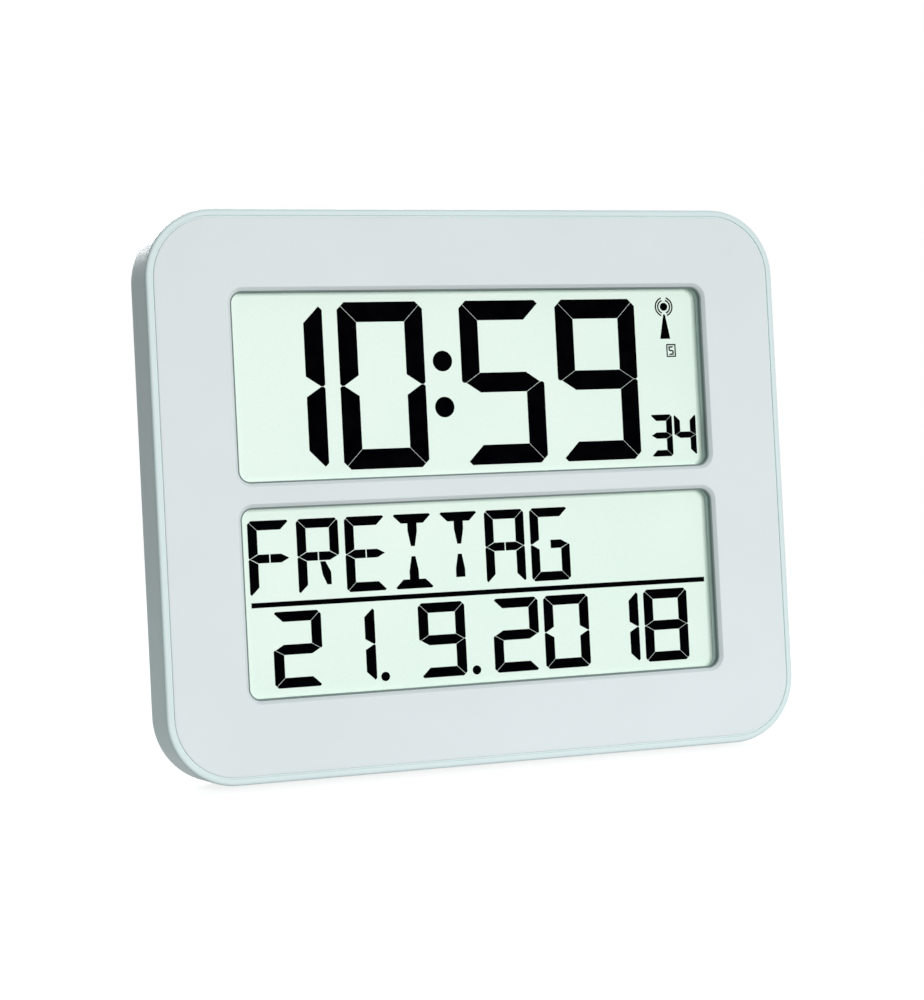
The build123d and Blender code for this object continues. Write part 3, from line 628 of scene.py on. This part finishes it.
def digit_bars(width, height, upright, level, cut, tip, nib):
    """The bars of a digit. The top bar's ends run from the middle of the corner's cut to its inner
    corner, the middle bar is a long hexagon, and the others are mirror images of the left and top."""
    half = height / 2
    top = np.array(((cut / 2, height - cut / 2), (cut, height), (width - cut, height),
                    (width - cut / 2, height - cut / 2), (width - upright, height - level),
                    (upright, height - level)))
    left = np.array(((cut / 2, height - cut / 2), (upright, height - level),
                     (upright, half + level / 2), (tip, half), (nib, half), (0, half + nib),
                     (0, height - cut)))
    middle = np.array(((tip, half), (upright, half + level / 2), (width - upright, half + level / 2),
                       (width - tip, half), (width - upright, half - level / 2),
                       (upright, half - level / 2)))
    turned_over = np.array((1, -1))
    turned_round = np.array((-1, 1))
    low = (0, height)
    far = (width, 0)
    return {"a": top, "b": left * turned_round + far, "c": left * -1 + (width, height),
            "d": top * turned_over + low, "e": left * turned_over + low, "f": left, "g": middle}


# Sizes of a digit: its width and height, its upright and level bars' widths, the cut of its corners,
# and how far the middle bar's tip and the side bars' points stand in from the side.
LARGE = (34.5, 63.45, 7.65, 7.75, 2.9, 1.75, 0.7)
SMALL = (9.7, 16.7, 2.7, 2.6, 0.9, 0.4, 0.25)
TINY = (2.3, 3.5, 0.7, 0.65, 0.2, 0.1, 0.05)
DATE = (19.2, 28.6, 4.15, 3.95, 1.5, 0.7, 0.45)
bar_gap = 0.16              # between the bars of a digit or a letter

# The bars that are dark for each digit or letter
DIGITS = {"0": "abcdef", "1": "bc", "2": "abdeg", "3": "abcdg", "4": "bcfg", "5": "acdfg",
          "8": "abcdefg", "9": "abcdfg", "S": "acdfg"}
LETTERS = {"F": "afe12", "R": "afbe12n", "E": "afed12", "I": "aild", "T": "ail", "A": "afbec12",
           "G": "afedc2"}


def digit(mark, left, bottom, gap, *sizes):
    """One digit's dark bars, each drawn in by half the gap between bars."""
    bars = digit_bars(*sizes)
    return [drawn_in(bars[name], gap / 2) + (left, bottom) for name in DIGITS[mark]]


def letter(mark, left, bottom):
    """One letter's dark bars: a digit's, with the middle bar in two halves, two tapered uprights on
    the middle line and a leg."""
    width, height, upright = 16.6, 28.5, 3.8
    bars = digit_bars(width, height, upright, 3.7, 1.3, 0.6, 0.5)
    half = height / 2
    middle = width / 2
    bars["1"] = np.array(((0.6, half), (upright, half + 1.7), (middle - 0.15, half + 1.7),
                          (middle - 0.15, half - 1.7), (upright, half - 1.7)))
    bars["2"] = bars["1"] * (-1, 1) + (width, 0)
    bars["i"] = np.array(((middle - 1.95, 25.1), (middle + 1.95, 25.1), (middle + 1.95, 21.9),
                          (middle + 0.85, 16.1), (middle - 0.85, 16.1), (middle - 1.95, 21.9)))
    bars["l"] = bars["i"] * (1, -1) + (0, height)
    bars["n"] = np.array(((8.8, 12.3), (10.95, 12.3), (13.1, 8.2), (13.1, 3.4), (11.25, 3.4),
                          (9.6, 7.2)))
    return [drawn_in(bars[name], bar_gap / 2) + (left, bottom) for name in LETTERS[mark]]


def radio_sign(x, z):
    """A dot with two broken rings round it, on a mast that widens downwards."""
    marks = [disc(x, z, 1.6)]
    for radius in (2.6, 3.65):
        marks += [arc_band(x, z, radius, 0.55, -70, 73), arc_band(x, z, radius, 0.55, 107, 250)]
    top, foot = z - 3.0, z - 12.75
    marks.append(((x - 0.35, top), (x + 0.35, top), (x + 2.2, foot), (x - 2.2, foot)))
    return marks


def summer_sign(left, low, line=0.5, apart=0.02):
    """An S in a box of four lines, whose upright ones stop just short of the others."""
    right, high = left + 4.1, low + 5.15
    foot, head = low + line + apart, high - line - apart
    marks = [((left, low), (right, low), (right, low + line), (left, low + line)),
             ((left, high - line), (right, high - line), (right, high), (left, high)),
             ((left, foot), (left + line, foot), (left + line, head), (left, head)),
             ((right - line, foot), (right, foot), (right, head), (right - line, head))]
    return marks + digit("S", left + 0.9, low + 0.8, 0.08, *TINY)


def time_marks():
    """The hour and minute, the seconds, the radio sign and the summer time sign."""
    marks = []
    for mark, left in zip("1059", (-94.8, -54.5, -5.1, 35.2)):
        marks += digit(mark, left, 8.2, bar_gap, *LARGE)
    for mark, left in zip("34", (74.1, 84.6)):
        marks += digit(mark, left, 8.8, 0.12, *SMALL)
    marks += [disc(-12.7, 48.55, 3.95), disc(-12.7, 30.9, 3.95)]
    return marks + radio_sign(82.75, 68.25) + summer_sign(83.0, 48.25)


def calendar_marks():
    """The day of the week, a rule, and the date with its two points."""
    letter_pitch = 18.95
    rule_left, rule_right, rule_low, rule_high = -93.4, 94.4, -41.6, -39.7
    marks = []
    for i, mark in enumerate("FREITAG"):
        marks += letter(mark, -93.7 + letter_pitch * i, -37.75)
    for mark, left in zip("2192018", (-85.8, -64.65, -28.0, 2.6, 24.0, 45.55, 67.05)):
        marks += digit(mark, left, -72.0, bar_gap, *DATE)
    marks += [disc(-42.15, -70.2, 1.75), disc(-4.95, -70.2, 1.75)]
    marks.append(((rule_left, rule_low), (rule_right, rule_low), (rule_right, rule_high),
                  (rule_left, rule_high)))
    return marks


shell_piece("time_marks", *raised(time_marks(), ink_front, ink_back), ink, "case",
            "display_glass")
shell_piece("calendar_marks", *raised(calendar_marks(), ink_front, ink_back), ink, "case",
            "display_glass")


# ---------------------------------------------------------------------------------------------
# Back, stand, door and buttons

beside_door = reach("battery_door", ACROSS)[1] + 0.8
softened("back_shell", "rear_cover", back_plastic, "case",
         cuts=(-beside_door - 1, -beside_door, beside_door, beside_door + 1))
softened("door_shell", "battery_door", back_plastic, "battery_door", 0.15)
softened("stand_flap", "stand_leg", back_plastic, "stand", 0.3)
softened("case_screw_heads", "case_screws", plated_steel, "case", 0.06)


def button_cap(name):
    """A push button: a dished face with a rounded edge, a flange under the back and a stem, turned
    round the button's axis."""
    low_x, high_x = reach(name, ACROSS)
    low_z, high_z = reach(name, UP)
    stem, face = reach(name, INTO)
    x, z = (low_x + high_x) / 2, (low_z + high_z) / 2
    radius = 4.0
    stem_radius = 2.0
    flange = (high_x - low_x) / 2
    flange_back = back_face - 2.1
    flange_front = flange_back - 1.0
    dish_depth = 0.4
    dish_round = 14.0
    dish = np.linspace(0, radius - 0.65, 8)
    hollow = face - dish_depth + dish ** 2 / (2 * dish_round)
    profile = np.concatenate((
        ((0, stem), (stem_radius - 0.2, stem), (stem_radius, stem + 0.2), (stem_radius, flange_front)),
        ((flange, flange_front), (flange, flange_back), (radius, flange_back), (radius, face - 0.9)),
        corner_arc(radius - 0.4, face - 0.45, 0.4, 0, 80, 5),
        np.column_stack((dish[::-1], hollow[::-1])),
    ))
    points, faces = turned(profile, x, z, 64)
    shell_piece(name + "_cap", points, faces, button_plastic, name, "case_plastic", (name,), 40)
    return x, z


button_places = {name: button_cap(name)
                 for name in ("set_button", "plus_button", "minus_button", "alarm_button")}

sign_back = back_face - merge
sign_front = back_face + 0.35
sign_side = 9.2             # how far a sign is from its button's axis


def band(x, z, radius, width):
    """A raised round line: a small section with its corners taken off, turned round the sign's axis."""
    low, high = radius - width / 2, radius + width / 2
    cut = 0.06
    section = np.array(((low, sign_back), (low, sign_front - cut), (low + cut, sign_front),
                        (high - cut, sign_front), (high, sign_front - cut), (high, sign_back)))
    return turned(section, x, z, 48, True)


def bar_outline(x, z, half_width, half_height, turn=0.0):
    """A straight bar about its middle, turned by an angle in degrees."""
    corners = np.array(((-half_width, -half_height), (half_width, -half_height),
                        (half_width, half_height), (-half_width, half_height)))
    a = radians(turn)
    return corners @ np.array(((cos(a), sin(a)), (-sin(a), cos(a)))) + (x, z)


def button_signs():
    """Raised signs beside the buttons: a clock face, a plus, a minus and a bell."""
    x, z = button_places["set_button"]
    x -= sign_side
    hands = [bar_outline(x, z + 0.6, 0.2, 0.75), bar_outline(x + 0.62, z, 0.42, 0.2)]
    parts = [band(x, z, 1.9, 0.45), raised(hands, sign_back, sign_front)]
    z = button_places["plus_button"][1]
    parts.append(raised([bar_outline(x, z, 1.9, 0.3), bar_outline(x, z + 1.1, 0.3, 0.8),
                         bar_outline(x, z - 1.1, 0.3, 0.8)], sign_back, sign_front))
    z = button_places["minus_button"][1]
    parts.append(raised([bar_outline(x, z, 1.9, 0.3)], sign_back, sign_front))
    z = button_places["alarm_button"][1]
    down = np.linspace(0, 1, 16)            # from the bell's crown to its rim
    half = 0.25 + 1.05 * np.sqrt(1 - (1 - down) ** 2) + 0.55 * down ** 6
    height = 1.9 - 2.9 * down
    bell = np.concatenate((np.column_stack((x + half, z + height)),
                           np.column_stack((x - half, z + height))[::-1]))
    clapper = disc(x, z - 1.55, 0.42, 24)
    parts.append(raised([bell, clapper], sign_back, sign_front))
    return join(*parts)


shell_piece("button_signs", *button_signs(), button_plastic, "case", "case_plastic")

door_low = reach("battery_door", UP)[0]
arrow_foot = door_low + 25.0
arrow = ((-3.6, arrow_foot), (3.6, arrow_foot), (0, arrow_foot + 5.4))
shell_piece("door_arrow", *raised([drawn_in(arrow, 0.2)], sign_back, sign_front), button_plastic,
            "battery_door", "case_plastic")


# ---------------------------------------------------------------------------------------------
# Battery cells

def cells():
    """Two cells: each is a profile of radius against distance along it, turned round the cell's own
    axis, with a rolled shoulder, a nub at one end and a shallow ring pressed into the other."""
    low_y, high_y = reach("battery_cells", INTO)
    low_z, high_z = reach("battery_cells", UP)
    left, right = reach("battery_cells", ACROSS)
    radius = (high_y - low_y) / 2
    length = 50.5
    rim = 0.6                   # round of the can's two ends
    nub = 2.75
    cap = length - 1.0          # the can's end under the nub
    axis_y = (high_y + low_y) / 2
    profile = np.concatenate((
        ((0, 0), (4.6, 0), (4.9, 0.25), (6.3, 0.25), (6.6, 0)),
        corner_arc(radius - rim, rim, rim, -90, 0, 5),
        ((radius, 1.4), (radius, 1.7), (radius, length - 2.6), (radius - 0.25, length - 2.2)),
        corner_arc(radius - 0.8, cap - rim, rim, 0, 90, 5),
        ((radius - 1.6, cap), (radius - 1.9, cap - 0.2), (nub + 0.25, cap - 0.2), (nub, cap)),
        ((nub, length - 0.25), (nub - 0.25, length), (0, length)),
    ))
    turn = np.linspace(0, 2 * pi, 64, endpoint=False)
    parts = []
    for tip, side, axis_z in ((right, 1, low_z + radius), (left, -1, high_z - radius)):
        x = np.broadcast_to((tip - side * (length - profile[:, 1]))[:, None], (len(profile), 64))
        y = axis_y + profile[:, 0][:, None] * np.cos(turn)
        z = axis_z + profile[:, 0][:, None] * np.sin(turn)
        parts.append((np.stack((x, y, z), -1).reshape(-1, 3),
                      woven(len(profile), 64, False, True).tolist()))
    points, faces = join(*parts)
    piece = shell_piece("cell_pair", points, faces, sleeve, "case", "cell_jacket",
                        ("battery_cells",), 40)
    places = case_places(piece)
    x = places @ ACROSS
    z = places @ UP
    upper = z > (low_z + high_z) / 2
    along = np.where(upper, left + length - x, x - right + length) / length
    piece.data.attributes.new("along", "FLOAT", "POINT").data.foreach_set("value", along)


cells()


# ---------------------------------------------------------------------------------------------
# CAD nodes that keep their shape

def finish_nodes(material, *nodes):
    """Gives CAD nodes their finish through their objects' material slots."""
    for node in nodes:
        for material_slot in frame["nodes"][node].material_slots:
            material_slot.material = material


finish_nodes(glass, "time_lcd", "calendar_lcd")
finish_nodes(silver_film, "time_reflector", "calendar_reflector")
finish_nodes(inner_plastic, "lcd_carrier", "antenna_clips")
finish_nodes(soft_rubber, "stand_pad", "time_connector_strip", "calendar_connector_strip")
finish_nodes(laminate, "main_board", "receiver_board")
finish_nodes(black_resin, "controller_chip", "receiver_chip", "buzzer", "board_capacitors",
             "chip_resistors", "tact_switches")
finish_nodes(plated_steel, "carrier_screws", "board_screws", "receiver_screws", "stand_pin",
             "clock_crystal")
finish_nodes(sprung_steel, "positive_contact", "negative_contact", "link_contact", "contact_springs")
finish_nodes(ferrite, "antenna_rod")
finish_nodes(winding, "antenna_coil", "antenna_leads")
finish_nodes(red_sheath, "battery_lead_red", "buzzer_leads")
finish_nodes(black_sheath, "battery_lead_black", "receiver_leads")


# ---------------------------------------------------------------------------------------------
# Floor, world, lamps and camera

def stage_floor():
    """A wide pale floor. It is lit and takes the clock's shadow; further out it turns plain white."""
    half = 20.0
    lit_as_far_as = 0.28
    white_from = 0.6
    mesh = bpy.data.meshes.new("floor")
    corners = [(-half, -half, 0), (half, -half, 0), (half, half, 0), (-half, half, 0)]
    mesh.from_pydata(corners, [], [(0, 1, 2, 3)])
    material = bpy.data.materials.new("floor")
    material.use_nodes = True
    tree = material.node_tree
    tree.nodes.clear()
    lit = tree.nodes.new("ShaderNodeBsdfDiffuse")
    lit.inputs["Color"].default_value = (0.5, 0.505, 0.505, 1)
    lift = tree.nodes.new("ShaderNodeEmission")
    rays = tree.nodes.new("ShaderNodeLightPath")
    seen = tree.nodes.new("ShaderNodeMath")
    seen.operation = "MAXIMUM"
    tree.links.new(rays.outputs["Is Camera Ray"], seen.inputs[0])
    tree.links.new(rays.outputs["Is Glossy Ray"], seen.inputs[1])
    share = tree.nodes.new("ShaderNodeMath")
    share.operation = "MULTIPLY"
    share.inputs[1].default_value = 0.8
    tree.links.new(seen.outputs[0], share.inputs[0])
    tree.links.new(share.outputs[0], lift.inputs["Strength"])
    near = tree.nodes.new("ShaderNodeAddShader")
    tree.links.new(lit.outputs[0], near.inputs[0])
    tree.links.new(lift.outputs[0], near.inputs[1])
    plain = tree.nodes.new("ShaderNodeEmission")
    tree.links.new(seen.outputs[0], plain.inputs["Strength"])
    place = tree.nodes.new("ShaderNodeTexCoord")
    distance = tree.nodes.new("ShaderNodeVectorMath")
    distance.operation = "LENGTH"
    tree.links.new(place.outputs["Object"], distance.inputs[0])
    fade = tree.nodes.new("ShaderNodeMapRange")
    fade.interpolation_type = "SMOOTHSTEP"
    fade.inputs["From Min"].default_value = lit_as_far_as
    fade.inputs["From Max"].default_value = white_from
    tree.links.new(distance.outputs["Value"], fade.inputs["Value"])
    both = tree.nodes.new("ShaderNodeMixShader")
    tree.links.new(fade.outputs["Result"], both.inputs["Fac"])
    tree.links.new(near.outputs[0], both.inputs[1])
    tree.links.new(plain.outputs[0], both.inputs[2])
    output = tree.nodes.new("ShaderNodeOutputMaterial")
    tree.links.new(both.outputs[0], output.inputs["Surface"])
    mesh.materials.append(material)
    floor = bpy.data.objects.new("floor", mesh)
    bpy.context.scene.collection.objects.link(floor)


def white_world(ambient):
    """A world that is white where it is seen or mirrored, and a soft even light otherwise."""
    world = bpy.data.worlds.new("world")
    bpy.context.scene.world = world
    world.use_nodes = True
    tree = world.node_tree
    rays = tree.nodes.new("ShaderNodeLightPath")
    mirrored = tree.nodes.new("ShaderNodeMath")
    mirrored.operation = "MAXIMUM"
    tree.links.new(rays.outputs["Is Glossy Ray"], mirrored.inputs[0])
    tree.links.new(rays.outputs["Is Transmission Ray"], mirrored.inputs[1])
    white = tree.nodes.new("ShaderNodeMath")
    white.operation = "MAXIMUM"
    tree.links.new(rays.outputs["Is Camera Ray"], white.inputs[0])
    tree.links.new(mirrored.outputs[0], white.inputs[1])
    colour = tree.nodes.new("ShaderNodeMix")
    colour.data_type = "RGBA"
    tree.links.new(white.outputs[0], colour.inputs["Factor"])
    colour.inputs["A"].default_value = (*ambient, 1)
    colour.inputs["B"].default_value = (1, 1, 1, 1)
    tree.links.new(colour.outputs["Result"], tree.nodes["Background"].inputs["Color"])


def lamp(name, place, aim, width, height, power):
    """A soft rectangular lamp that faces a point."""
    light = bpy.data.lights.new(name, "AREA")
    light.shape = "RECTANGLE"
    light.size = width
    light.size_y = height
    light.energy = power
    holder = bpy.data.objects.new(name, light)
    bpy.context.scene.collection.objects.link(holder)
    holder.location = place
    holder.rotation_euler = (Vector(aim) - Vector(place)).to_track_quat("-Z", "Y").to_euler()


stage_floor()
white_world((0.28, 0.325, 0.33))
middle = tuple(centre)
lamp("key", (0.95, -3.45, 0.85), middle, 1.8, 1.5, 102)
lamp("rear", (0.5, 3.3, 1.2), middle, 1.8, 1.5, 88)

camera_data = bpy.data.cameras.new("camera")
camera_data.lens = 87.69
camera_data.sensor_width = 36.0
camera = bpy.data.objects.new("camera", camera_data)
bpy.context.scene.collection.objects.link(camera)
azimuth = radians(21.85)
dip = radians(6.32)
camera_distance = 0.93107
aim_right, aim_up = -0.00879, -0.00541      # from the middle of the case's front
forward = np.array((sin(azimuth) * cos(dip), cos(azimuth) * cos(dip), -sin(dip)))
right = np.array((cos(azimuth), -sin(azimuth), 0.0))
above = np.cross(right, forward)
camera.location = centre - forward * camera_distance + right * aim_right + above * aim_up
camera.rotation_euler = Vector(forward).to_track_quat("-Z", "Y").to_euler()
bpy.context.scene.camera = camera
bpy.context.scene.view_settings.view_transform = "Standard"
